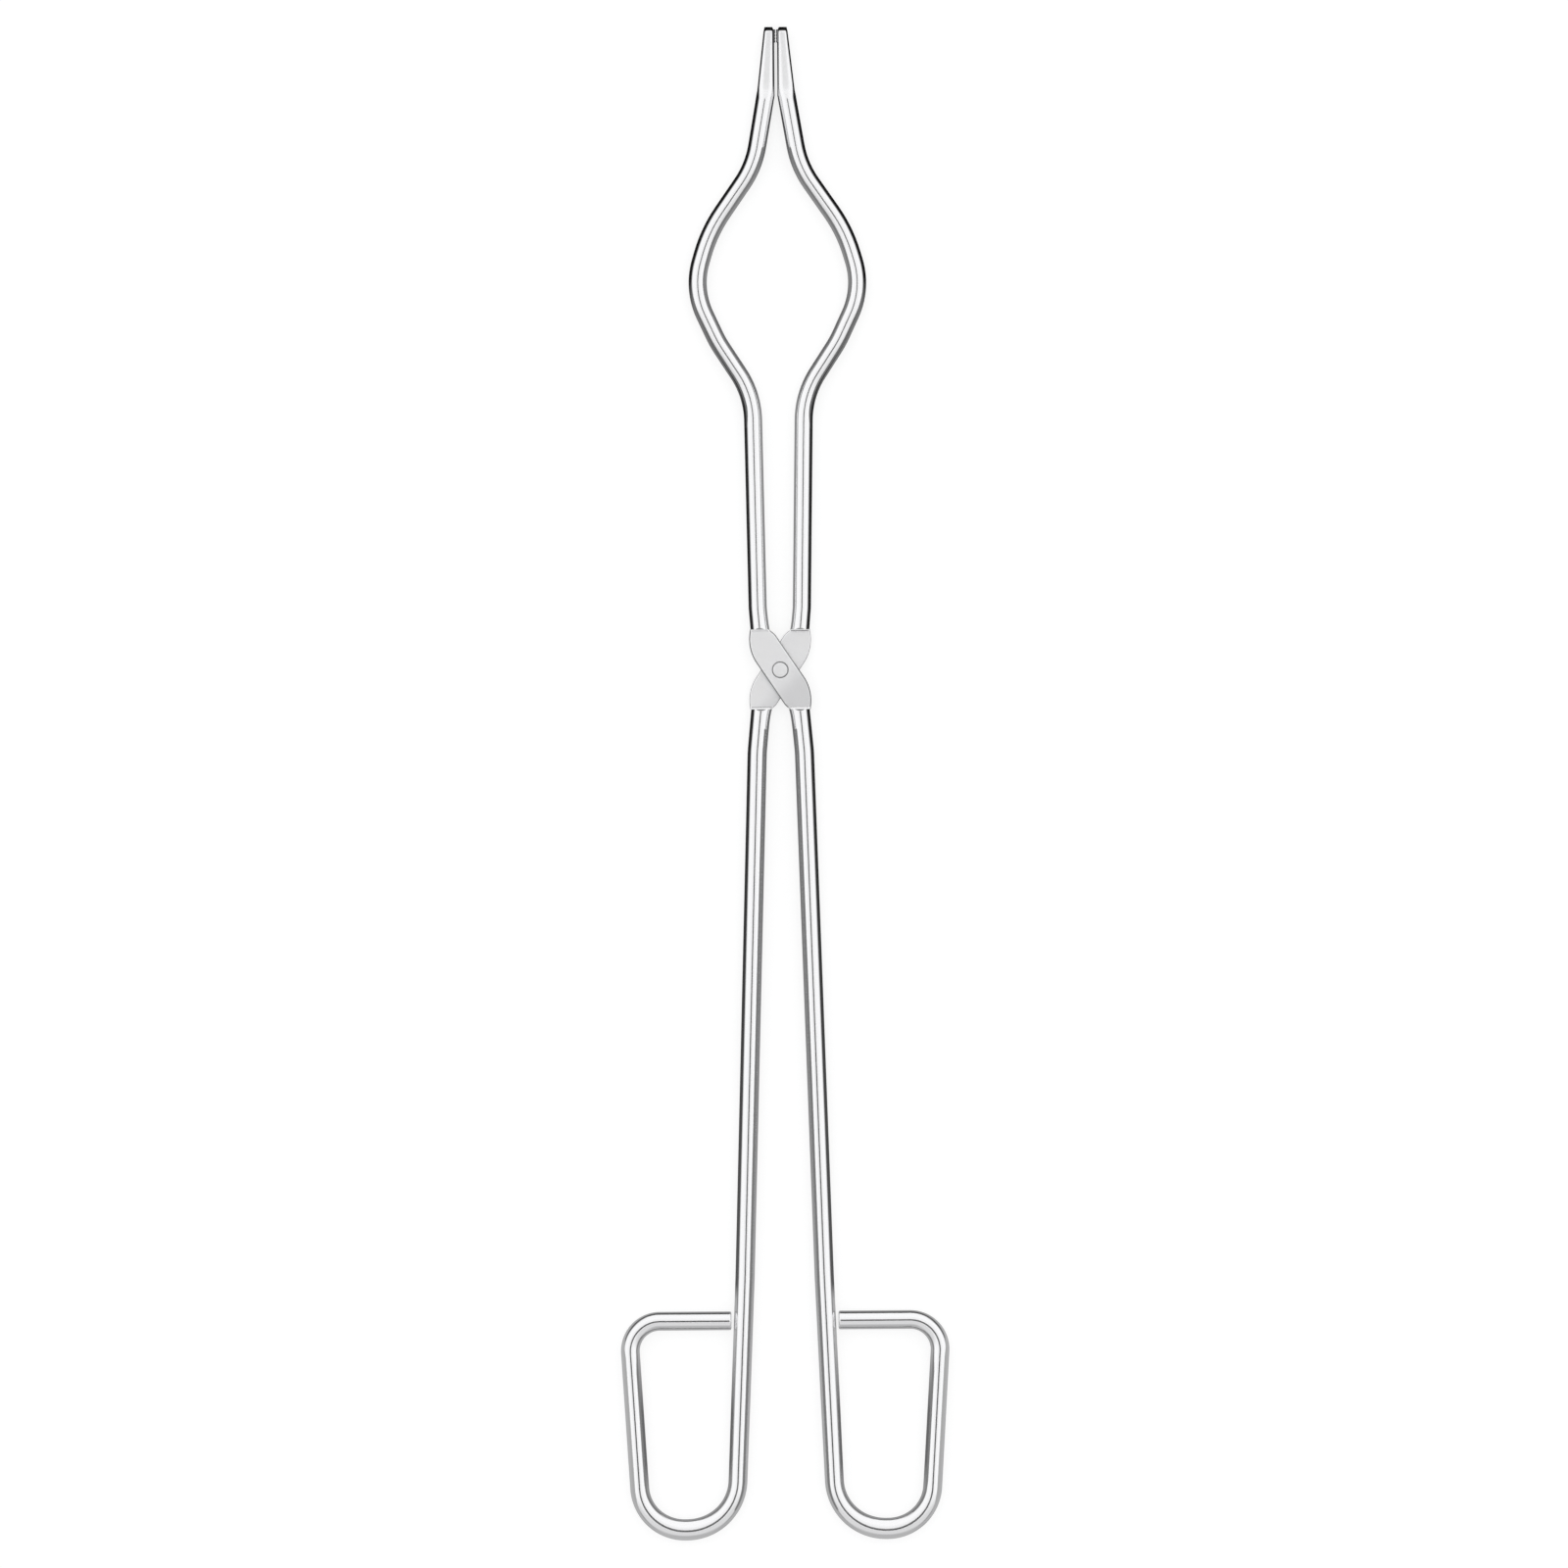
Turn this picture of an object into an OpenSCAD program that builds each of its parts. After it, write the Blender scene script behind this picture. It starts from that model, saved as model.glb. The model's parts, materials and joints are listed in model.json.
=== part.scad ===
// Long crucible tongs: two bent steel rods that cross in a flat half-lap and turn on one flush rivet.
// Millimetres. +Y points to the jaws, +X to the right, +Z up along the rivet.
// The tongs lie closed on a bench at z = 0, and the origin is under the middle of their outline.
// Both arms are the same piece. The rear arm is the front arm turned over about the long axis.

/* [Reach] */
// From the rivet's axis to the ends of the jaws
jaw_reach = 212.5; // [205:0.5:240]
// From the rivet's axis to the bottom of the finger loops
handle_reach = 287.5; // [255:0.5:335]

/* [Rods] */
// Rod diameter on the handle side
handle_d = 6.2; // [5.8:0.1:6.4]
// Rod diameter on the jaw side, which is drawn a little thinner
jaw_d = 6; // [5.8:0.1:6.2]

/* [Jaws] */
// Half-width at which the bow's two sides would cross
bow_x = 28; // [26:0.5:31]
// Gap between the flat inner faces of the two tips
tip_gap = 1; // [0.6:0.1:1.2]
// Gap that is left between the grip pads when the tongs are closed
pad_gap = 0.3; // [0.2:0.05:0.5]
// Length of the raised grip pad at the end of each tip
pad_l = 5.2; // [4.5:0.1:6]
// Width of a tip at its end
tip_w = 3.3; // [3:0.1:3.8]
// Thickness of a tip between its front and back flats
tip_t = 5.2; // [5:0.1:5.4]

/* [Finger loops] */
// Inner height of a loop, from the bottom bend to the cross bar
loop_h = 63.2; // [55:0.5:75]
// Distance from a handle's shank to the outer leg at the bottom bend
loop_w = 31; // [31:0.5:38]
// Bevel on the free end of the cross bar
bar_bevel = 0.7; // [0.3:0.1:1]

/* [Bends] */
// How much thicker than the straight rod a bend is, in diameter
bend_swell = 0.04; // [0.02:0.01:0.2]

/* [Pivot] */
// Thickness of each flattened strap
strap_t = 2.5; // [2.2:0.1:2.7]
// Gap between the two straps
strap_gap = 0.1; // [0.06:0.02:0.2]
// Width of the straight middle part of a strap
strap_w = 10.3; // [9.6:0.1:11]
// Angle of the strap to the long axis
strap_angle = 33.5; // [33:0.1:34]
// Distance from the rivet's axis to each shoulder, where the round rod begins
shoulder_y = 13.4; // [13.2:0.1:13.6]
// Diameter of the bores through the straps
bore_d = 4.1; // [3.6:0.1:4.4]
// Radial running clearance of the rivet in the front arm
fit_gap = 0.05; // [0.02:0.01:0.08]
// Diameter of the countersinks at the outer faces
head_d = 5.6; // [5.2:0.1:6]

/* [Hidden] */

$fn = 96;

pivot_y = (handle_reach - jaw_reach) / 2;
mid_z = (max(handle_d, jaw_d) + bend_swell) / 2;
strap_face = strap_gap / 2 + strap_t;
head_depth = (head_d - bore_d) / 2;
steel = [0.78, 0.79, 0.80];
satin = [0.68, 0.69, 0.70];

// Cutters are this much bigger than what they cut.
reach_past = 4;

// Straight rods run this far into the bends.
lap = 0.1;

// Length of the pressed tip.
tip_l = 21.5;

// Corners of the jaw's centreline as [distance from the long axis, distance from the rivet, bend radius].
jaw_route = [
    [6.6, shoulder_y - 1.4, 0],
    [7.3, 20.5, 20],
    [8.5, jaw_reach - 121.5, 29],
    [0.71 * bow_x, jaw_reach - 104, 36],
    [bow_x, jaw_reach - 86.5, 25],
    [0.8 * bow_x, jaw_reach - 67.5, 48],
    [7.5, jaw_reach - 46, 31],
    [3.3, jaw_reach - tip_l, 18],
    [2.2, jaw_reach, 0]
];

// The same for the handle, which runs down, round the loop and back to just short of its own shank.
shank_x = 16.6;
bottom_y = -(handle_reach - handle_d / 2);
bar_y = bottom_y + loop_h + handle_d;
handle_route = [
    [6.4, -(shoulder_y - 1.4), 0],
    [7.8, -27, 40],
    [13.1, bottom_y + 83.5, 60],
    [shank_x, bottom_y, 17],
    [shank_x + loop_w, bottom_y, 15],
    [shank_x + loop_w + 4.2, bar_y, 9.8],
    [shank_x + 1.1, bar_y, 0]
];

// Half of the strap's outline, from the jaw's shoulder to the handle's, as [x, y, corner radius].
// The other half is the same turned by 180 degrees about the rivet.
lobe_x = 10.5;
waist_x = 1.6;
edge_dx = strap_w / 2 / cos(strap_angle);
lobe_y = (lobe_x - edge_dx) / tan(strap_angle);
strap_half = [
    [-lobe_x + 0.6, shoulder_y, 0],
    [-lobe_x - 0.2, lobe_y, 14],
    [waist_x, -(edge_dx + waist_x) / tan(strap_angle), 5],
    [3.6, -shoulder_y, 0]
];

// ---- Bent rods ----

function heading(a, b) = atan2(b[1] - a[1], b[0] - a[0]);
function wrapped(angle) = angle > 180 ? angle - 360 : angle < -180 ? angle + 360 : angle;
function turn(route, i) = wrapped(heading(route[i], route[i + 1]) - heading(route[i - 1], route[i]));
function is_end(route, i) = i == 0 || i == len(route) - 1;
function setback(route, i) = is_end(route, i) ? 0 : route[i][2] * tan(abs(turn(route, i)) / 2);
function flat(point) = [point[0], point[1]];
function run(route, i) =
    norm(flat(route[i + 1]) - flat(route[i])) - setback(route, i) - setback(route, i + 1);

// One bend of a rod that arrives along +X and leaves after turning by angle.
module bend(radius, angle, d) {
    start = angle > 0 ? -90 : 90 + angle;
    translate([0, sign(angle) * radius, 0])
        rotate([0, 0, start])
            rotate_extrude(angle = abs(angle))
                translate([radius, 0])
                    circle(d = d + bend_swell);
}

// Straight run i of a route along +X, its bend, and the rest of the route in the turned frame.
module rod_from(route, d, bevel, i = 0) {
    last = i == len(route) - 2;
    length = run(route, i) - (last ? bevel : 0);
    first_x = i == 0 ? 0 : -lap;
    last_x = length + (last ? 0 : lap);
    translate([first_x, 0, 0])
        rotate([0, 90, 0])
            cylinder(h = last_x - first_x, d = d);
    if (last && bevel > 0)
        translate([length, 0, 0])
            rotate([0, 90, 0])
                cylinder(h = bevel, d1 = d, d2 = d - 2 * bevel);
    if (!last) {
        angle = turn(route, i + 1);
        radius = route[i + 1][2];
        centre = [0, sign(angle) * radius, 0];
        translate([length, 0, 0]) {
            bend(radius, angle, d);
            translate(centre)
                rotate([0, 0, angle])
                    translate(-centre)
                        rod_from(route, d, bevel, i + 1);
        }
    }
}

module bent_rod(route, d, bevel = 0) {
    translate([route[0][0], route[0][1], 0])
        rotate([0, 0, heading(route[0], route[1])])
            rod_from(route, d, bevel);
}

// ---- Jaw tip ----

// The pressed tip's cutters, on the side where the jaw's distance from the long axis is +X.
tip_root = jaw_reach - tip_l;
tip_in = tip_gap / 2;
tip_out = tip_in + tip_w;
root_out = 6.3;
pad_in = pad_gap / 2;
pad_root = jaw_reach - pad_l;
inner_start = tip_root - jaw_d;
ramp_start = tip_root - 2.5;
ramp_end = tip_root + 2;
end_bevel = 0.9;
groove_pitch = 1;
groove_depth = 0.3;
last_groove = jaw_reach - 0.8;

module tip_sides() {
    past_end = jaw_reach + 1;
    past_side = 2 * root_out;
    linear_extrude(handle_d + 2 * reach_past, center = true) {
        polygon([[tip_in, inner_start], [tip_in, pad_root], [pad_in, pad_root], [pad_in, past_end],
                 [-reach_past, past_end], [-reach_past, inner_start]]);
        polygon([[tip_out, jaw_reach], [root_out, tip_root], [past_side, tip_root],
                 [past_side, past_end], [tip_out, past_end]]);
    }
}

// One flat of the tip, with a short ramp down from the round rod and a bevel at the end.
module tip_flat() {
    half_t = tip_t / 2;
    start_z = jaw_d / 2 + lap;
    past_end = jaw_reach + lap;
    translate([-reach_past, 0, 0])
        rotate([90, 0, 90])
            linear_extrude(5 * reach_past)
                polygon([[ramp_start, start_z], [ramp_end, half_t], [jaw_reach - end_bevel, half_t],
                         [past_end, half_t - end_bevel], [past_end, handle_d], [ramp_start, handle_d]]);
}

module pad_grooves() {
    side = groove_depth * sqrt(2);
    for (y = [pad_root + groove_pitch : groove_pitch : last_groove])
        translate([pad_in, y, 0])
            rotate([0, 0, 45])
                cube([side, side, handle_d + 2], center = true);
}

module jaw() {
    difference() {
        bent_rod(jaw_route, jaw_d);
        tip_sides();
        tip_flat();
        mirror([0, 0, 1])
            tip_flat();
        pad_grooves();
    }
}

// ---- Strap ----

// Points along the arc that rounds corner b between a and c.
function arc_points(a, b, c, steps = 10) =
    let (
        turned = wrapped(heading(b, c) - heading(a, b)),
        back = b[2] * tan(abs(turned) / 2),
        start = flat(b) - back * [cos(heading(a, b)), sin(heading(a, b))],
        side = heading(a, b) + sign(turned) * 90,
        centre = start + b[2] * [cos(side), sin(side)]
    )
    [for (k = [0 : steps])
        let (at = side + 180 + turned * k / steps)
        centre + b[2] * [cos(at), sin(at)]];

function rounded(route) = [
    flat(route[0]),
    for (i = [1 : len(route) - 2]) each arc_points(route[i - 1], route[i], route[i + 1]),
    flat(route[len(route) - 1])
];

module strap_outline() {
    half = rounded(strap_half);
    polygon([for (point = half) point, for (point = half) -point]);
}

module strap() {
    difference() {
        translate([0, 0, strap_gap / 2])
            linear_extrude(strap_t)
                strap_outline();
        cylinder(h = handle_d, d = bore_d);
        translate([0, 0, strap_face - head_depth])
            cylinder(h = head_depth, d1 = bore_d, d2 = head_d);
    }
}

// ---- Pieces ----

// An arm with its rivet axis at the origin, its jaw on the left and its strap in the upper half.
module arm() {
    difference() {
        union() {
            mirror([1, 0, 0])
                jaw();
            bent_rod(handle_route, handle_d, bar_bevel);
        }
        cube([8 * handle_d, 2 * shoulder_y, 2 * handle_d], center = true);
    }
    strap();
}

module front_arm() {
    color(steel)
        translate([0, pivot_y, mid_z])
            arm();
}

module rear_arm() {
    color(satin)
        translate([0, pivot_y, mid_z])
            rotate([0, 180, 0])
                arm();
}

// The rivet fills the rear arm's bore and countersink, and runs free in the front arm's.
module pivot_rivet() {
    tight_r = bore_d / 2;
    free_r = tight_r - fit_gap;
    head_r = head_d / 2;
    color(satin)
        translate([0, pivot_y, mid_z])
            rotate_extrude()
                polygon([[0, -strap_face], [head_r, -strap_face], [tight_r, -strap_face + head_depth],
                         [tight_r, -strap_gap / 2], [free_r, -strap_gap / 2],
                         [free_r, strap_face - head_depth], [head_r - fit_gap, strap_face],
                         [0, strap_face]]);
}

front_arm();
rear_arm();
pivot_rivet();
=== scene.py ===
"""Crucible tongs: the looks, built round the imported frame.

Lengths are in millimetres from the rivet's axis at mid-height, as in part.scad, until place() puts
them in the row frame in metres. An arm has its jaw on the -X side and its handle on the +X side.
"""
import json
import math

import bmesh
import bpy
from mathutils import Matrix, Vector


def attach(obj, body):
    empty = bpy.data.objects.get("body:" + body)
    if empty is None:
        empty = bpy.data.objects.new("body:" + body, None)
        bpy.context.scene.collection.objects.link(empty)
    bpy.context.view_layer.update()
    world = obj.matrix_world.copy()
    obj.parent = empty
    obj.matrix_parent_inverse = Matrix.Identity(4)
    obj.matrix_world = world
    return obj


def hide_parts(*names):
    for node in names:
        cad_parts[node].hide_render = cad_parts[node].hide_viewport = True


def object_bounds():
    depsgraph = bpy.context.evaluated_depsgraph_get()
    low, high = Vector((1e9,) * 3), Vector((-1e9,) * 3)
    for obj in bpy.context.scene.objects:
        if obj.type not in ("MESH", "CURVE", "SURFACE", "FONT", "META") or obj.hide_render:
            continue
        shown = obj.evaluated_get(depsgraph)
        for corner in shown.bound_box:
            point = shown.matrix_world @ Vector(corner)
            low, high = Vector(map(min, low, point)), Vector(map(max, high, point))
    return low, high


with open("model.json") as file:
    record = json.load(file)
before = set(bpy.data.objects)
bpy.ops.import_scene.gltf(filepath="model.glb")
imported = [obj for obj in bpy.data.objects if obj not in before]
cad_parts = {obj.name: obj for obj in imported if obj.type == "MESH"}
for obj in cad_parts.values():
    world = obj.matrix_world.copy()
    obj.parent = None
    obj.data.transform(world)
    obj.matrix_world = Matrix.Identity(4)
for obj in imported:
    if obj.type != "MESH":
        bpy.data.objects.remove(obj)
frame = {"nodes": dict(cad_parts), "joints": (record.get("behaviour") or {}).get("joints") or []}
cad_lo, cad_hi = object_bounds()
pivot = Vector(frame["joints"][0]["pos_m"])
MM = 0.001

# ---- Sizes, as in part.scad, but for the handle's shoulder, which is nearer to the rivet here ----

JAW_REACH, HANDLE_REACH = 212.5, 287.5
JAW_R, HANDLE_R = 3.0, 3.1
BOW_X = 28
TIP_L, TIP_W, TIP_T = 21.5, 3.3, 5.2
TIP_IN, PAD_IN, PAD_L = 0.5, 0.15, 5.2
STRAP_GAP, STRAP_T, STRAP_W = 0.1, 2.5, 10.3
STRAP_ANGLE = math.radians(33.5)
LOBE_X, WAIST_X, FOOT_X = 10.5, 1.6, 3.6
SHOULDER, HANDLE_SHOULDER = 13.4, 13.0
BORE_R, HEAD_R = 2.05, 2.8
STRAP_FACE = STRAP_GAP / 2 + STRAP_T
TIP_ROOT = JAW_REACH - TIP_L

# Corners of each centreline: distance from the long axis, distance from the rivet, bend radius.
JAW_ROUTE = [
    (6.715, SHOULDER, 0),
    (7.3, 20.5, 20),
    (8.5, JAW_REACH - 121.5, 29),
    (0.71 * BOW_X, JAW_REACH - 104, 36),
    (BOW_X, JAW_REACH - 86.5, 25),
    (0.8 * BOW_X, JAW_REACH - 67.5, 48),
    (7.5, JAW_REACH - 46, 31),
    (3.3, TIP_ROOT, 18),
    (2.2, JAW_REACH, 0),
]
SHANK_X, LOOP_W, LOOP_H = 16.6, 31, 63.2
BOTTOM_Y = -(HANDLE_REACH - HANDLE_R)
BAR_Y = BOTTOM_Y + LOOP_H + 2 * HANDLE_R
HANDLE_ROUTE = [
    (6.493, -HANDLE_SHOULDER, 0),
    (7.8, -27, 40),
    (13.1, BOTTOM_Y + 83.5, 60),
    (SHANK_X, BOTTOM_Y, 17),
    (SHANK_X + LOOP_W, BOTTOM_Y, 15),
    (SHANK_X + LOOP_W + 4.2, BAR_Y, 9.8),
    (SHANK_X + 1.1, BAR_Y, 0),
]

# ---- Finer shape, which only the looks have ----

SIDES = 56          # points round a rod
GIRTH = 19.5        # what a rod measures round, for its grain
GRAIN_SHIFT = 300   # the handle's grain starts this far along the pattern, past the jaw's
LIP = 0.12          # the strap's face rises by this much at a shoulder
LIP_LENGTH = 0.8    # over this length
CREST_SLOPE = 0.75  # steepness of the cut where a rod's crest stands above the strap
CREST_LENGTH = 1.5  # the cut ends within this distance of the shoulder
OVERLAP = 0.02      # the rods start this far inside the strap
BLEND = 8           # a rod's rings turn from level to square to it over this length
TIP_BEVEL = 1.35    # length of the bevel at the end of a tip
TIP_FACET = 0.68    # half-width of the flat along a tip
TIP_ROUND = 1.5     # height of the rounding along a tip's edges
TIP_ROOT_X = 6.25   # a tip's outer side at its root
BAR_ROUND = 0.6     # radius of the rounding at the end of a cross bar
TOOTH = 0.3         # depth and half-width of the grooves in a grip pad
SEAM_R = 2.54       # middle of the seam round the rivet's head


def smooth(x, a, b):
    t = min(1.0, max(0.0, (x - a) / (b - a)))
    return t * t * (3 - 2 * t)


def mix(a, b, t):
    return a + (b - a) * t


def wrapped(angle):
    return (angle + math.pi) % (2 * math.pi) - math.pi


# ---- Meshes ----

def follow(route, step=1.6, degrees=3.0):
    """Points along a route with rounded corners, as (point, heading, distance from the start)."""
    corner = [Vector(c[:2]) for c in route]
    head = [math.atan2(b.y - a.y, b.x - a.x) for a, b in zip(corner, corner[1:])]
    turn = [0.0] + [wrapped(b - a) for a, b in zip(head, head[1:])] + [0.0]
    back = [c[2] * math.tan(abs(t) / 2) for c, t in zip(route, turn)]
    found = []
    for i, h in enumerate(head):
        along = Vector((math.cos(h), math.sin(h)))
        a, b = corner[i] + along * back[i], corner[i + 1] - along * back[i + 1]
        steps = max(1, round((b - a).length / step))
        found += [(a.lerp(b, k / steps), h) for k in range(steps)]
        t, r = turn[i + 1], route[i + 1][2]
        if not t:
            found.append((b, h))
            continue
        centre = b + Vector((-along.y, along.x)) * math.copysign(r, t)
        steps = max(2, math.ceil(abs(math.degrees(t)) / degrees))
        found += [(centre + Matrix.Rotation(t * k / steps, 2) @ (b - centre), h + t * k / steps)
                  for k in range(steps)]
    out, s = [], 0.0
    for k, (p, h) in enumerate(found):
        s += (p - found[k - 1][0]).length if k else 0.0
        out.append((p, h, s))
    return out


def finer(points, spans):
    """More points where a shape changes quickly. A span is (from, to, step) along the path."""
    out = []
    for (p, h, s), (q, g, e) in zip(points, points[1:]):
        out.append((p, h, s))
        step = min([w for a, b, w in spans if s < b and e > a] or [1e9])
        n = math.ceil((e - s) / step - 1e-6)
        out += [(p.lerp(q, k / n), h + wrapped(g - h) * k / n, mix(s, e, k / n)) for k in range(1, n)]
    return out + points[-1:]


def tube(bm, rings, lengths, mirror=False):
    """A closed skin over rings of points. Its grain UVs are in millimetres, round and along the rod."""
    uv = bm.loops.layers.uv.verify()
    sign = -1 if mirror else 1
    made = [[bm.verts.new((sign * x, y, z)) for x, y, z in ring] for ring in rings]
    n = len(made[0])
    for (a, b), (s, e) in zip(zip(made, made[1:]), zip(lengths, lengths[1:])):
        for k in range(n):
            f = bm.faces.new((a[k], a[(k + 1) % n], b[(k + 1) % n], b[k]))
            for loop, (u, v) in zip(f.loops, ((k, s), (k + 1, s), (k + 1, e), (k, e))):
                loop[uv].uv = (u * GIRTH / n, v)
    for ring in (made[0], made[-1]):
        f = bm.faces.new(ring)
        for loop in f.loops:
            loop[uv].uv = (2 * GIRTH + loop.vert.co.x, loop.vert.co.z)


def section(left, right, up, corner=None):
    """Points round a section, from its half-widths, its half-height and its corners' semi-axes."""
    cl, cr, cz = corner or (left, right, up)
    out = []
    quarter = SIDES // 4
    for q in range(4):
        for k in range(quarter):
            a = math.pi / 2 * (q + (k + 0.5) / quarter)
            c, s = math.cos(a), math.sin(a)
            x = (right - cr + cr * c) if c > 0 else (-(left - cl) + cl * c)
            z = math.copysign(up - cz, s) + cz * s
            out.append((x, z))
    return out


def ring_at(p, heading, points, level):
    """A section's points in space. level 1 turns the ring so that it lies at one height y."""
    t = Vector((math.cos(heading), math.sin(heading)))
    n = Vector((t.y, -t.x))
    out = []
    for a, z in points:
        q = p + n * a
        q += t * (-(a * n.y) / t.y * level) if level else Vector((0, 0))
        out.append((q.x, q.y, z))
    return out


def shoulder_cut(ring, shoulder, s):
    """Bevels the crest of the rod's end where it stands above the strap, s along the rod."""
    if s >= CREST_LENGTH:
        return ring
    into_strap = math.copysign(OVERLAP, ring[0][1]) if s == 0 else 0.0
    out = []
    for x, y, z in ring:
        y -= into_strap
        most = STRAP_FACE + LIP + max(0.0, abs(y) - shoulder) * CREST_SLOPE
        out.append((x, y, max(-most, min(most, z))))
    return out


def tip_section(p):
    """The pressed tip's half-widths, half-height and corners at point p of the centreline."""
    pressed = smooth(p.y, TIP_ROOT - 2.5, TIP_ROOT + 2)
    lo, hi = max(p.x - JAW_R, TIP_IN), p.x + JAW_R
    if p.y > TIP_ROOT:
        hi = min(hi, mix(TIP_ROOT_X, TIP_IN + TIP_W, (p.y - TIP_ROOT) / TIP_L))
    bevel = max(0.0, p.y - (JAW_REACH - TIP_BEVEL))
    lo += 0.42 * bevel
    hi -= 0.10 * bevel
    up = mix(JAW_R, TIP_T / 2, pressed)
    left, right = p.x - lo, hi - p.x
    off_middle = ((lo + hi) / 2 - p.x) * pressed
    facet = TIP_FACET * pressed
    cl = max(0.3, left - facet + off_middle)
    cr = max(0.3, right - facet - off_middle)
    cz = mix(JAW_R, TIP_ROUND, pressed)
    up -= 1.45 * bevel
    return left, right, up, (min(cl, left), min(cr, right), min(cz, up))


def jaw(bm):
    # Finer at the shoulder, where the rings turn level before the tip, and along the tip.
    spans = [(0, 0.7, 0.08), (0.7, BLEND, 0.5), (178, 186, 0.5), (200, 240, 0.4)]
    points = finer(follow(JAW_ROUTE), spans)
    rings, lengths = [], []
    for p, h, s in points:
        level = max(1 - smooth(s, 0, BLEND), smooth(p.y, TIP_ROOT - 14, TIP_ROOT - 7))
        flare = 0.3 * math.exp(-s / 2.2)
        around = (JAW_R + flare, JAW_R, JAW_R) if p.y <= TIP_ROOT - 7 else tip_section(p)
        rings.append(shoulder_cut(ring_at(p, h, section(*around), level), SHOULDER, s))
        lengths.append(s)
    tube(bm, rings, lengths, mirror=True)


def grip_pad(bm):
    """The toothed pad that stands on the inner face of the tip."""
    uv = bm.loops.layers.uv.verify()
    start, end, pitch = JAW_REACH - PAD_L, JAW_REACH - 1.0, 1.0
    root = TIP_IN + 0.4
    profile = [(root, start), (PAD_IN, start + 0.25)]
    y = start + pitch
    while y < end:
        profile += [(PAD_IN, y - TOOTH), (PAD_IN + TOOTH, y), (PAD_IN, y + TOOTH)]
        y += pitch
    profile += [(PAD_IN, end - 0.2), (root, end + 0.1)]
    made = []
    for z, bevel in ((-2.0, 0.25), (-1.8, 0.0), (1.8, 0.0), (2.0, 0.25)):
        made.append([bm.verts.new((-max(x, PAD_IN + bevel), y, z)) for x, y in profile])
    n = len(profile)
    faces = [bm.faces.new((a[k], a[(k + 1) % n], b[(k + 1) % n], b[k]))
             for a, b in zip(made, made[1:]) for k in range(n)]
    faces += [bm.faces.new(made[0]), bm.faces.new(made[-1])]
    for f in faces:
        for loop in f.loops:
            loop[uv].uv = (loop.vert.co.z, loop.vert.co.y)


def handle(bm):
    points = finer(follow(HANDLE_ROUTE), [(0, 0.7, 0.08), (0.7, BLEND, 0.5)])
    total = points[-1][2]
    bottom = min(points, key=lambda c: c[0].y)[2]
    points = finer(points, [(total - 0.7, total, 0.14)])
    rings, lengths = [], []
    for p, h, s in points:
        # The rod is a touch oval, and the bottom of the loop was squeezed wider.
        oval = 0.08 * (1 - smooth(s, bottom - 60, bottom - 20))
        wide = 0.80 * math.exp(-((s - bottom) / 15) ** 2)
        flare = 0.5 * math.exp(-s / 2.0)
        past_round = max(0.0, s - (total - BAR_ROUND))
        less = BAR_ROUND - math.sqrt(max(0.0, BAR_ROUND ** 2 - past_round ** 2))
        # Heading down, the right-hand side is the one next to the long axis.
        around = section(HANDLE_R + oval + wide - less, HANDLE_R + oval + flare - less, HANDLE_R - less)
        ring = ring_at(p, h, around, 1 - smooth(s, 0, BLEND))
        rings.append(shoulder_cut(ring, HANDLE_SHOULDER, s))
        lengths.append(s + GRAIN_SHIFT)
    tube(bm, rings, lengths)


def strap_outline():
    """The strap's outline, anticlockwise, run on past each shoulder."""
    edge = STRAP_W / 2 / math.cos(STRAP_ANGLE)
    tan = math.tan(STRAP_ANGLE)
    route = [
        (-LOBE_X + 0.6, SHOULDER, 0),
        (-LOBE_X - 0.2, (LOBE_X - edge) / tan, 14),
        (WAIST_X, -(edge + WAIST_X) / tan, 5),
        (FOOT_X, -SHOULDER, 0),
    ]
    past = 0.9
    half = [(p.x, p.y) for p, h, s in follow(route, step=4, degrees=4)]
    half = [(-LOBE_X + 0.6, SHOULDER + past)] + half + [(FOOT_X, -SHOULDER - past)]
    return half + [(-x, -y) for x, y in half]


def inset(outline, by):
    """The outline with every side moved inwards by this much."""
    out = []
    n = len(outline)
    for k in range(n):
        a, b, c = (Vector(outline[(k + d) % n]) for d in (-1, 0, 1))
        u, v = (b - a).normalized(), (c - b).normalized()
        side = Vector((-u.y - v.y, u.x + v.x))
        side = side.normalized() / max(0.5, math.sqrt(max(0.0, (1 + u.dot(v)) / 2)))
        out.append((b + side * by)[:])
    return out


def edge_round(width, height, steps):
    """A quarter of an ellipse, from the side to the flat face, as (inset, depth below the face)."""
    turn = [math.pi / 2 * k / steps for k in range(steps + 1)]
    return [(width * (1 - math.cos(a)), height * (1 - math.sin(a))) for a in turn]


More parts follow.
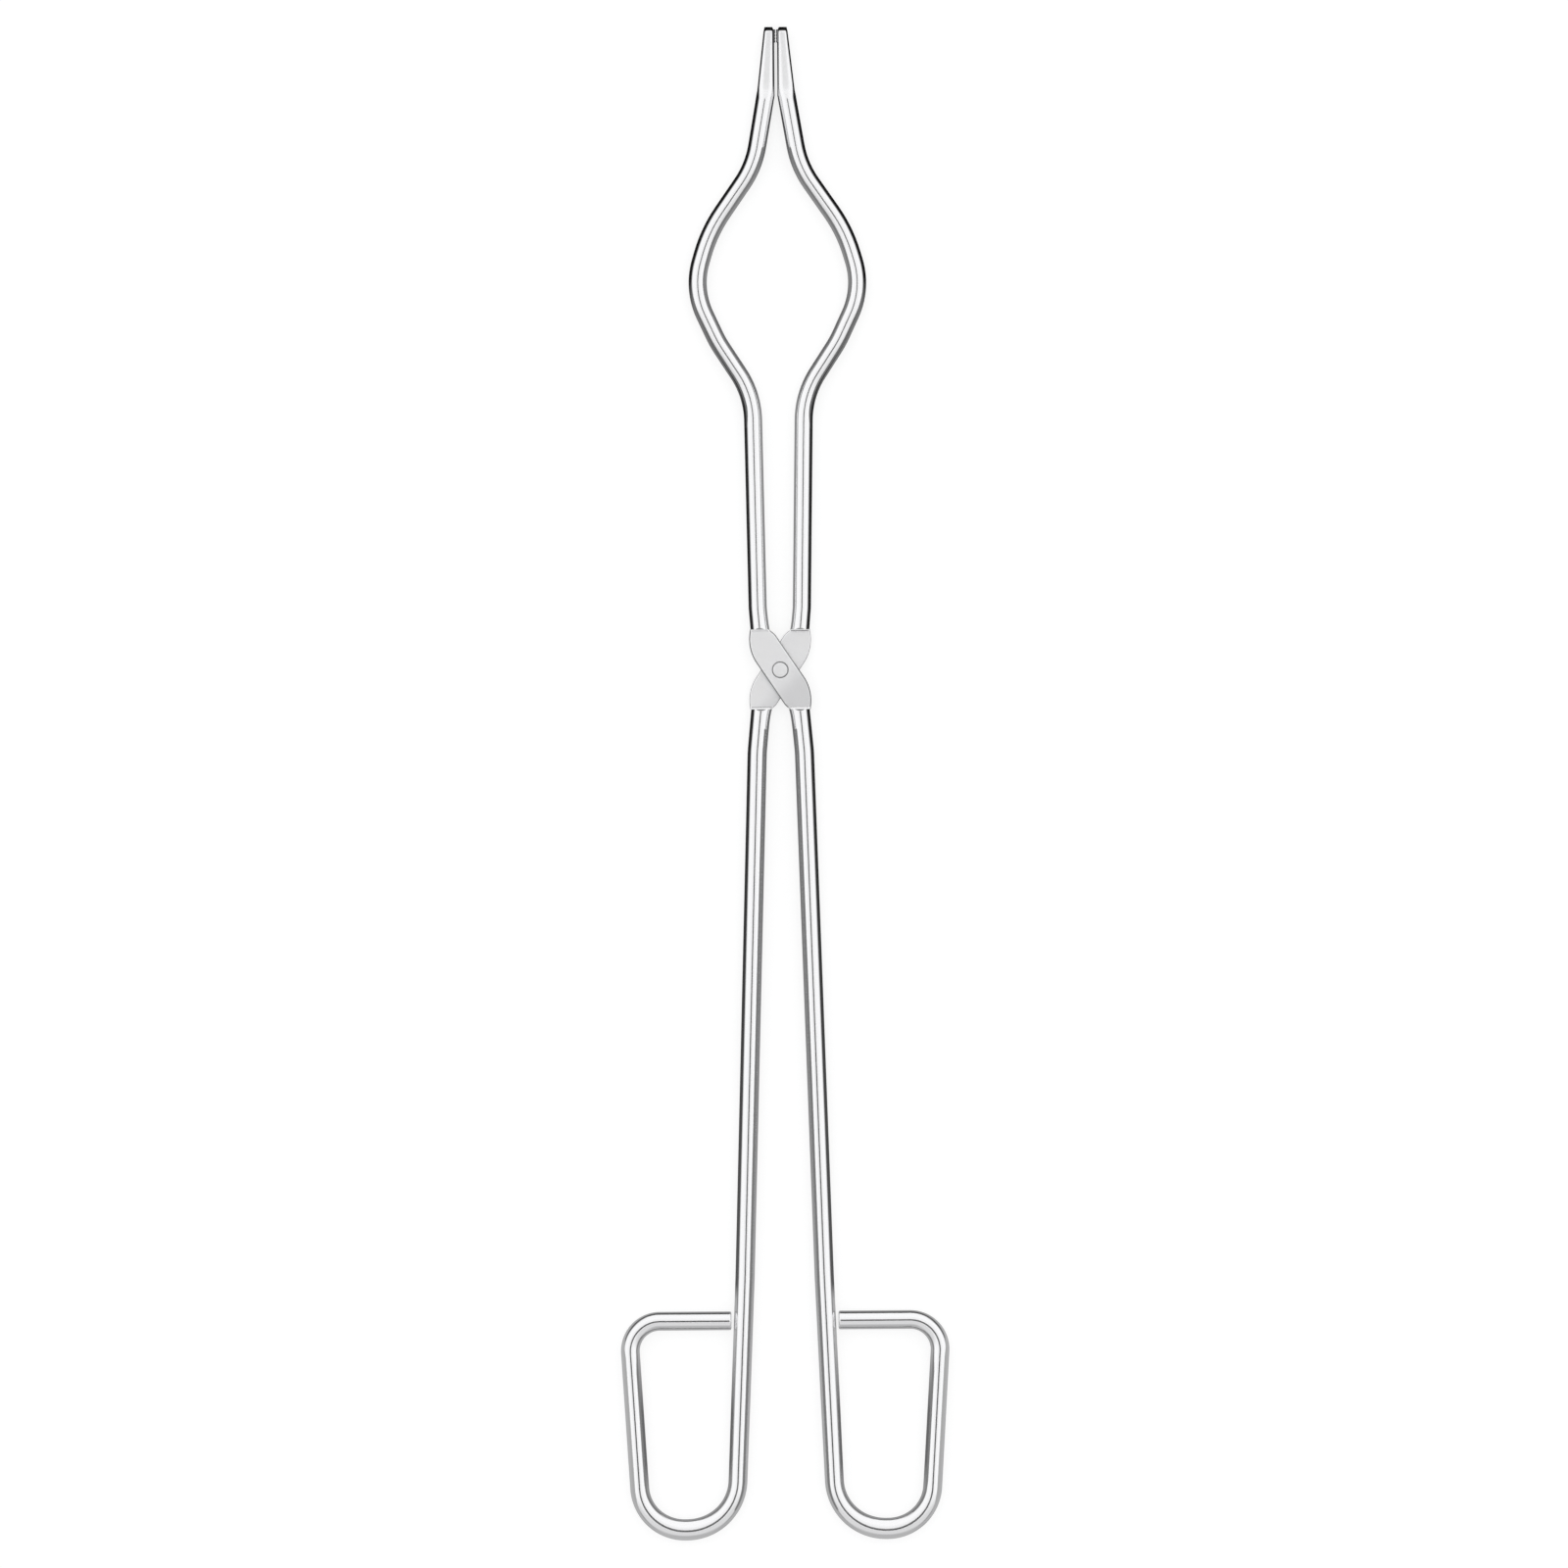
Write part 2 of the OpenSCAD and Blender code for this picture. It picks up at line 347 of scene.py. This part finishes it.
def strap(bm):
    outline = strap_outline()
    lo, hi = STRAP_GAP / 2, STRAP_FACE
    mating = [(by, lo + depth) for by, depth in edge_round(0.36, 0.30, 4)]
    outer = [(by, hi - depth) for by, depth in edge_round(0.62, 0.60, 6)]
    part = bmesh.new()
    made = [[part.verts.new((x, y, z)) for x, y in inset(outline, by)]
            for by, z in [(0.50, lo)] + mating[::-1] + outer + [(0.75, hi)]]
    n = len(outline)
    for a, b in zip(made, made[1:]):
        for k in range(n):
            part.faces.new((a[k], a[(k + 1) % n], b[(k + 1) % n], b[k]))
    part.faces.new(made[0])
    part.faces.new(made[-1])
    # Lines across each end let the lip rise, and the last of them cuts the strap off at its shoulder.
    for sign, shoulder in ((1, SHOULDER), (-1, HANDLE_SHOULDER)):
        for back in (0.95, 0.8, 0.6, 0.4, 0.2, 0.0):
            geom = part.verts[:] + part.edges[:] + part.faces[:]
            at = (0, sign * (shoulder - back), 0)
            bmesh.ops.bisect_plane(part, geom=geom, plane_co=at, plane_no=(0, sign, 0), dist=1e-5,
                                   clear_outer=not back)
        bmesh.ops.holes_fill(part, edges=[e for e in part.edges if e.is_boundary])
    # The lip lifts the outer face and the upper part of its rounded edge, and a little the mating face.
    for v in part.verts:
        shoulder = SHOULDER if v.co.y > 0 else HANDLE_SHOULDER
        rise = max(0.0, (abs(v.co.y) - shoulder + LIP_LENGTH) / LIP_LENGTH) ** 2
        if v.co.z > hi - 0.32:
            v.co.z += LIP * rise
        elif v.co.z < lo + 0.2:
            v.co.z -= 0.6 * LIP * rise
    uv = part.loops.layers.uv.verify()
    c, s = math.cos(STRAP_ANGLE), math.sin(STRAP_ANGLE)
    for f in part.faces:
        for loop in f.loops:
            x, y, z = loop.vert.co
            loop[uv].uv = (c * x + s * y + z, -s * x + c * y)
    mesh = bpy.data.meshes.new("strap")
    part.to_mesh(mesh)
    part.free()
    bm.from_mesh(mesh)
    bpy.data.meshes.remove(mesh)


def lathe(bm, profile, steps=96):
    """A solid of revolution about Z from (radius, height) points that start and end on the axis."""
    uv = bm.loops.layers.uv.verify()
    turn = [2 * math.pi * k / steps for k in range(steps)]
    rows = []
    for r, z in profile:
        if r < 1e-6:
            rows.append([bm.verts.new((0, 0, z))] * steps)
        else:
            rows.append([bm.verts.new((r * math.cos(a), r * math.sin(a), z)) for a in turn])
    for a, b in zip(rows, rows[1:]):
        for k in range(steps):
            corners = list(dict.fromkeys((a[k], a[(k + 1) % steps], b[(k + 1) % steps], b[k])))
            if len(corners) > 2:
                f = bm.faces.new(corners)
                for loop in f.loops:
                    loop[uv].uv = (loop.vert.co.x + loop.vert.co.z, loop.vert.co.y)


def bore(bm):
    """What is cut out of a strap: the bore with its countersink."""
    past = STRAP_FACE + 0.5
    wide = HEAD_R + 0.05
    lathe(bm, [(0, -past), (BORE_R, -past), (BORE_R, STRAP_FACE - 0.75),
               (HEAD_R - 0.03, STRAP_FACE - 0.05), (wide, STRAP_FACE), (wide, past), (0, past)])


def rivet_body(bm):
    """A rivet with a slightly crowned, countersunk head at each end."""
    top = STRAP_FACE
    half = [(0, top), (1.5, top - 0.004), (2.3, top - 0.012), (2.45, top - 0.03), (2.52, top - 0.08),
            (2.58, top - 0.2), (BORE_R - 0.05, top - 0.76)]
    lathe(bm, half + [(r, -z) for r, z in reversed(half)])


def to_object(name, bm):
    bmesh.ops.recalc_face_normals(bm, faces=bm.faces)
    mesh = bpy.data.meshes.new(name)
    bm.to_mesh(mesh)
    bm.free()
    for layer in mesh.uv_layers:
        layer.name = "grain"
    obj = bpy.data.objects.new(name, mesh)
    bpy.context.scene.collection.objects.link(obj)
    return obj


def solid(name, maker):
    bm = bmesh.new()
    maker(bm)
    return to_object(name, bm)


def boolean(obj, other, operation):
    m = obj.modifiers.new("bool", "BOOLEAN")
    m.operation, m.solver, m.object = operation, "EXACT", other
    mesh = bpy.data.meshes.new_from_object(obj.evaluated_get(bpy.context.evaluated_depsgraph_get()))
    obj.modifiers.clear()
    old, obj.data = obj.data, mesh
    bpy.data.meshes.remove(old)
    bpy.data.objects.remove(other)


def place(obj, turned=False):
    """Puts a piece made in millimetres round the rivet into the row frame."""
    turn = Matrix.Rotation(math.pi, 4, "Y") if turned else Matrix.Identity(4)
    obj.data.transform(Matrix.Translation(pivot) @ Matrix.Scale(MM, 4) @ turn)
    obj.data.shade_smooth()
    obj.data.set_sharp_from_angle(angle=math.radians(32))


def arm_solid(name):
    arm = solid(name, strap)
    boolean(arm, solid("jaw", jaw), "UNION")
    boolean(arm, solid("pad", grip_pad), "UNION")
    boolean(arm, solid("handle", handle), "UNION")
    boolean(arm, solid("bore", bore), "DIFFERENCE")
    return arm


# The rear arm is the front arm turned over.
front = arm_solid("front_arm_steel")
rear = front.copy()
rear.data = front.data.copy()
rear.name = "rear_arm_steel"
bpy.context.scene.collection.objects.link(rear)
rivet = solid("pivot_rivet_steel", rivet_body)
place(front)
place(rear, turned=True)
place(rivet)


# ---- Materials ----

class Nodes:
    """Short calls for building a node tree."""

    def __init__(self, tree):
        self.tree = tree
        tree.nodes.clear()

    def add(self, kind, inputs=(), out=0, **settings):
        node = self.tree.nodes.new(kind)
        for key, value in settings.items():
            setattr(node, key, value)
        for key, value in dict(inputs).items():
            self.put(node, key, value)
        return node.outputs[out] if node.outputs else node

    def put(self, node, key, value):
        if isinstance(value, bpy.types.NodeSocket):
            self.tree.links.new(value, node.inputs[key])
        else:
            node.inputs[key].default_value = value

    def math(self, operation, *values):
        return self.add("ShaderNodeMath", enumerate(values), operation=operation)

    def chain(self, operation, first, *rest):
        for value in rest:
            first = self.math(operation, first, value)
        return first

    def times(self, *values):
        return self.chain("MULTIPLY", *values)

    def most(self, *values):
        return self.chain("MAXIMUM", *values)

    def less(self, a, b):
        return self.math("SUBTRACT", a, b)

    def size(self, value):
        return self.math("ABSOLUTE", value)

    def scaled(self, value, by, plus):
        return self.math("MULTIPLY_ADD", value, by, plus)

    def blend(self, factor, a, b):
        return self.add("ShaderNodeMix", {0: factor, 2: a, 3: b})

    def ramp(self, value, a, b, to=(0.0, 1.0)):
        """Smoothly from to[0] at a to to[1] at b."""
        return self.add("ShaderNodeMapRange", {0: value, 1: a, 2: b, 3: to[0], 4: to[1]},
                        interpolation_type="SMOOTHSTEP")

    def steps(self, value, stops):
        """Straight from stop to stop, given as (value, level) pairs in rising order."""
        level = stops[0][1]
        for (a, low), (b, high) in zip(stops, stops[1:]):
            part = self.add("ShaderNodeMapRange", {0: value, 1: a, 2: b, 3: 0.0, 4: high - low})
            level = self.math("ADD", level, part)
        return level

    def coordinates(self, out=3):
        """A TexCoord output (3: the object's own coordinates in metres, 0: the world's direction)."""
        return self.add("ShaderNodeTexCoord", out=out)

    def xyz(self, vector):
        node = self.tree.nodes.new("ShaderNodeSeparateXYZ")
        self.put(node, 0, vector)
        return node.outputs

    def noise(self, vector, scale, detail=2.0, rough=0.5):
        return self.add("ShaderNodeTexNoise",
                        {"Vector": vector, "Scale": scale, "Detail": detail, "Roughness": rough})

    def stretched(self, vector, scale):
        return self.add("ShaderNodeMapping", {"Vector": vector, "Scale": scale})

    def grey(self, value):
        return self.add("ShaderNodeCombineColor", {0: value, 1: value, 2: self.times(value, 1.006)})

    def glow(self, colour, strength=1.0):
        return self.add("ShaderNodeEmission", {"Color": colour, "Strength": strength})

    def finish(self, shader, kind="ShaderNodeOutputMaterial"):
        self.add(kind, {"Surface": shader})


def material(name):
    mat = bpy.data.materials.new(name)
    mat.use_nodes = True
    return mat, Nodes(mat.node_tree)


def satin_areas(n, along, high):
    """Masks of the straps, of the tips, and of the tips' flats."""
    strap_end = n.ramp(along, -1, 1, (HANDLE_SHOULDER - 0.75, SHOULDER - 0.55))
    on_strap = n.ramp(n.less(n.size(along), strap_end), 0.12, -0.12)
    on_tip = n.ramp(along, TIP_ROOT - 2, TIP_ROOT + 3)
    on_flat = n.times(on_tip, n.ramp(high, TIP_T / 2 - 0.06, TIP_T / 2 - 0.01))
    return on_strap, on_tip, on_flat


def painted_shade_and_dulling(n, x, along, high, cloud, on_strap, on_tip):
    """Painted shade, which also makes the metal rougher: in the seam round the rivet, along the straps'
    edges, on the shoulders' cuts, on the grips and on the tips' end bevels.
    """
    radius = n.math("SQRT", n.math("ADD", n.times(x, x), n.times(along, along)))
    seam = n.ramp(n.size(n.less(radius, SEAM_R)), 0.30, 0.14)
    seam = n.times(seam, n.ramp(cloud, 0.35, 0.60, (0.45, 0.72)))

    from_middle = n.size(n.less(high, (STRAP_GAP + STRAP_T) / 2))
    half = STRAP_T / 2
    rim = n.times(n.ramp(from_middle, half - 0.015, half - 0.10),
                  n.ramp(from_middle, half - 0.9, half - 0.5, (0.0, 0.62)), on_strap)

    past = n.less(n.size(along), n.ramp(along, -1, 1, (HANDLE_SHOULDER, SHOULDER)))
    crest = n.less(n.less(high, STRAP_FACE + LIP), n.times(past, CREST_SLOPE))
    cut = n.times(n.ramp(crest, -0.03, -0.01), n.math("GREATER_THAN", past, -0.02),
                  n.ramp(along, -1, 1, (0.72, 0.42)))

    # Painted shade on the tips' grip faces, darker on the left tip's.
    grip = n.times(n.ramp(x, -1.20, -1.05), n.ramp(x, 0.85, 0.70), on_tip,
                   n.ramp(x, -0.2, 0.2, (0.88, 0.50)))
    bevel = JAW_REACH - TIP_BEVEL
    end = n.ramp(along, bevel - 0.05, bevel + 0.05, (0.0, 0.80))
    return n.most(seam, rim, cut, grip, end)


def steel(name, satin_only=False):
    """Polished rod with fine draw marks, going over to the satin of the pressed straps and tips."""
    mat, n = material(name)
    here = n.coordinates()
    grain = n.add("ShaderNodeUVMap", uv_map="grain")
    cloud = n.noise(here, 90.0, 3.0)                                        # 10 mm patches
    fine = n.noise(here, 900.0, 4.0, 0.6)                                   # 1 mm specks
    draw = n.noise(n.stretched(grain, (7.0, 0.12, 1.0)), 1.0, 3.0, 0.65)    # marks along the rod
    brush = n.noise(n.stretched(grain, (9.0, 0.5, 1.0)), 1.0, 4.0, 0.7)     # marks along the strap

    # In millimetres: across the tongs, along them from the rivet, and away from mid-height.
    x, y, z = n.xyz(here)
    x = n.math("DIVIDE", x, MM)
    along = n.math("DIVIDE", n.less(y, pivot.y), MM)
    high = n.math("DIVIDE", n.size(n.less(z, pivot.z)), MM)
    on_strap, on_tip, on_flat = satin_areas(n, along, high)
    satin = 1.0 if satin_only else n.most(on_strap, on_flat)
    # Painted shade at the seam, the straps' edges, the shoulders' cuts, the grips and the tips' ends;
    # the same mask makes the metal rougher.
    shade_and_dulling = painted_shade_and_dulling(n, x, along, high, cloud, on_strap, on_tip)

    # Painted shade: the crossing is a little darker at its lower right.
    shade = n.ramp(n.less(x, along), 2, 12, (1.0, 0.84))
    satin_tone = n.times(shade, n.scaled(cloud, 0.08, 0.96), n.scaled(brush, 0.05, 0.975))
    bright_tone = n.times(n.scaled(draw, 0.03, 0.985), 0.93)
    # The painted shade darkens the tone, and the same mask makes the metal rougher below.
    tone = n.times(n.blend(satin, bright_tone, satin_tone), n.less(1.0, shade_and_dulling))

    bright_rough = n.math("ADD", n.scaled(draw, 0.05, 0.085), n.times(cloud, 0.04))
    satin_rough = n.math("ADD", n.scaled(brush, 0.10, 0.30), n.times(fine, 0.06))
    rough = n.scaled(shade_and_dulling, 0.15, n.blend(satin, bright_rough, satin_rough))
    marks = n.blend(satin, n.times(draw, 0.3), n.math("ADD", brush, fine))
    bump = n.add("ShaderNodeBump", {"Strength": 0.12, "Distance": 0.00002, "Height": marks})
    n.finish(n.add("ShaderNodeBsdfPrincipled",
                   {"Base Color": n.grey(tone), "Metallic": 1.0, "Roughness": rough, "Normal": bump}))
    return mat


arm_steel = steel("polished_steel")
rivet_steel = steel("satin_steel", satin_only=True)
for obj, body, node, slot, mat in ((front, "front", "front_arm", "polished_steel", arm_steel),
                                   (rear, "rear", "rear_arm", "polished_steel", arm_steel),
                                   (rivet, "rear", "pivot_rivet", "satin_steel", rivet_steel)):
    obj.data.materials.clear()
    obj.data.materials.append(mat)
    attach(obj, body)
    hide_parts(node)
for node in frame["nodes"].values():
    node.data.materials.clear()
    node.data.materials.append(arm_steel)


# ---- Floor, light and camera ----

FLOOR_SIZE = 16     # metres
CARD_FOOT = 4.8     # height of the lower edge of the grey cards, in millimetres


def plane(name, z, mat):
    bm = bmesh.new()
    bmesh.ops.create_grid(bm, x_segments=2, y_segments=2, size=FLOOR_SIZE / 2)
    obj = to_object(name, bm)
    obj.location.z = z
    obj.data.materials.append(mat)
    return obj


def only_in_steel(obj):
    """Leaves something to reflections alone."""
    obj.visible_camera = False
    obj.visible_diffuse = False
    obj.visible_transmission = False
    obj.visible_shadow = False


def pale_floor():
    """The floor that the camera sees: even white, with a faint shadow where the tongs lie."""
    mat, n = material("paper")
    matt = n.add("ShaderNodeBsdfDiffuse", {"Color": (0.30, 0.30, 0.30, 1)})
    n.finish(n.add("ShaderNodeAddShader", {0: n.glow((1, 1, 1, 1), 0.78), 1: matt}))
    plane("floor", -0.0001, mat).visible_glossy = False


def mirror_floor():
    """What the steel mirrors from below the horizon: a grey sheet, seen only in reflections, with
    painted shade that is darker beside the jaws.
    """
    mat, n = material("bench")
    x, y, z = n.xyz(n.coordinates())
    along = n.math("DIVIDE", n.less(y, pivot.y), MM)
    out_x = n.math("DIVIDE", n.size(x), MM)
    # Painted shade levels by distance from the rivet: where the arms run, and the levels between them
    # and outside them.
    border = n.steps(along, [
        (-287, 17), (-27, 7.8), (-13, 6.5), (13, 6.7), (91, 8.5), (108, 20), (126, 28), (145, 22),
        (166, 7.5), (191, 3.3), (213, 2.2)])
    inner = n.steps(along, [
        (-287, 0.44), (-230, 0.42), (-150, 0.28), (-13, 0.15), (13, 0.25), (88, 0.28), (100, 0.15),
        (124, 0.15), (130, 0.28), (158, 0.28), (175, 0.10), (190, 0.02)])
    outer = n.steps(along, [
        (-295, 0.50), (-286, 0.36), (-270, 0.32), (-262, 0.14), (-245, 0.14), (-226, 0.40),
        (-221, 0.45), (-208, 0.42), (-203, 0.10), (-100, 0.04), (-13, 0.02), (86, 0.02),
        (95, 0.20), (114, 0.20), (130, 0.01)])
    past_loops = n.times(n.math("LESS_THAN", along, -215.0), n.math("GREATER_THAN", out_x, 50.0))
    outer = n.blend(past_loops, outer, 0.46)
    level = n.blend(n.math("GREATER_THAN", out_x, border), inner, outer)
    n.finish(n.glow(n.grey(level)))
    only_in_steel(plane("mirror_floor", -0.0002, mat))


def card(name, points, level):
    """A grey card that stands beside the rods on each side of the long axis, or on the axis itself.

    Its points are (distance from the long axis, distance from the rivet, height of the top edge).
    """
    mat, n = material(name)
    n.finish(n.glow((level, level, level, 1)))
    bm = bmesh.new()
    for sign in ((1, -1) if points[0][0] else (1,)):
        low, high = [], []
        for x, y, top in points:
            low.append(bm.verts.new((sign * x * MM, pivot.y + y * MM, CARD_FOOT * MM)))
            high.append(bm.verts.new((sign * x * MM, pivot.y + y * MM, top * MM)))
        for k in range(len(points) - 1):
            bm.faces.new((low[k], low[k + 1], high[k + 1], high[k]))
    obj = to_object(name, bm)
    obj.data.materials.append(mat)
    only_in_steel(obj)


def studio():
    """A pale dome that darkens towards the sides' horizon, with a dark card overhead."""
    world = bpy.data.worlds.new("studio")
    bpy.context.scene.world = world
    world.use_nodes = True
    n = Nodes(world.node_tree)
    dx, dy, dz = n.xyz(n.coordinates(out=0))
    back = n.times(dy, -1.0)
    side = n.ramp(n.size(dx), 0.3, 0.8)
    horizon = n.ramp(back, 0.15, 0.45, (0.04, 0.30))
    dome = n.times(n.ramp(dz, 0.80, 0.99, (1.03, 0.93)),
                   n.ramp(back, 0.10, 0.45, (1.0, 0.72)),
                   n.ramp(back, 0.70, 1.0, (1.0, 0.62)),
                   n.blend(side, 1.0, n.ramp(dz, 0.0, 0.42, (horizon, 1.0))))
    # The dark card, as wide as this at each dy, draws the thin dark line along every rod.
    width = n.steps(dy, [
        (-0.20, -0.02), (-0.19, 0.15), (-0.046, 0.15), (-0.040, 0.120), (0.0, 0.116), (0.06, 0.10),
        (0.10, 0.09), (0.11, -0.02)])
    beside = n.ramp(n.less(n.size(dx), width), -0.014, 0.014, (0.08, 1.0))
    dome = n.times(dome, n.most(beside, n.math("LESS_THAN", dz, 0.0)))
    to_camera = n.add("ShaderNodeLightPath", out=0)
    level = n.blend(to_camera, dome, 1.1)
    sky = n.add("ShaderNodeBackground", {"Color": n.grey(level), "Strength": 1.0})
    n.finish(sky, "ShaderNodeOutputWorld")


def aim_camera(distance, width):
    """A long lens straight above the tongs, which sees this width in metres."""
    cam = bpy.data.cameras.new("camera")
    cam.sensor_width = 36
    cam.lens = distance * cam.sensor_width / width
    cam.clip_start, cam.clip_end = 0.05, 100
    cam.dof.use_dof = False
    camera = bpy.data.objects.new("camera", cam)
    bpy.context.scene.collection.objects.link(camera)
    # The tongs lie a touch off the picture's middle and turned by half a degree.
    centre = (cad_lo + cad_hi) / 2
    camera.location = (centre.x + 0.00097, centre.y - 0.00024, pivot.z + distance)
    camera.rotation_euler = (0, 0, math.radians(-0.42))
    bpy.context.scene.camera = camera


pale_floor()
mirror_floor()
card("flag_middle", [(0, -20, 8.5), (0, -150, 12.5), (0, -290, 16)], 0.20)
card("flag_loops",
     [(40.2, -277, 5.2), (40.8, -268, 9), (43.6, -232, 9), (44.4, -222, 5.2)], 0.22)
card("flag_sides",
     [(54.8, -284, 5.2), (55.5, -275, 9.5), (59.5, -228, 9.5), (60.2, -219, 5.2)], 0.42)
card("flag_bow_low",
     [(13.5, 80, 5.2), (16, 86, 9), (27.5, 103.6, 10.5), (35.6, 121, 8), (37.5, 130, 5.2)], 0.15)
card("flag_bow_high",
     [(19.5, 118, 5.2), (19, 128, 8), (15, 140, 9.5), (3.5, 158, 9.5), (0.9, 172, 7.5)], 0.20)
studio()
aim_camera(distance=4.0, width=0.5183)
bpy.context.scene.view_settings.view_transform = "Standard"

bpy.context.view_layer.update()
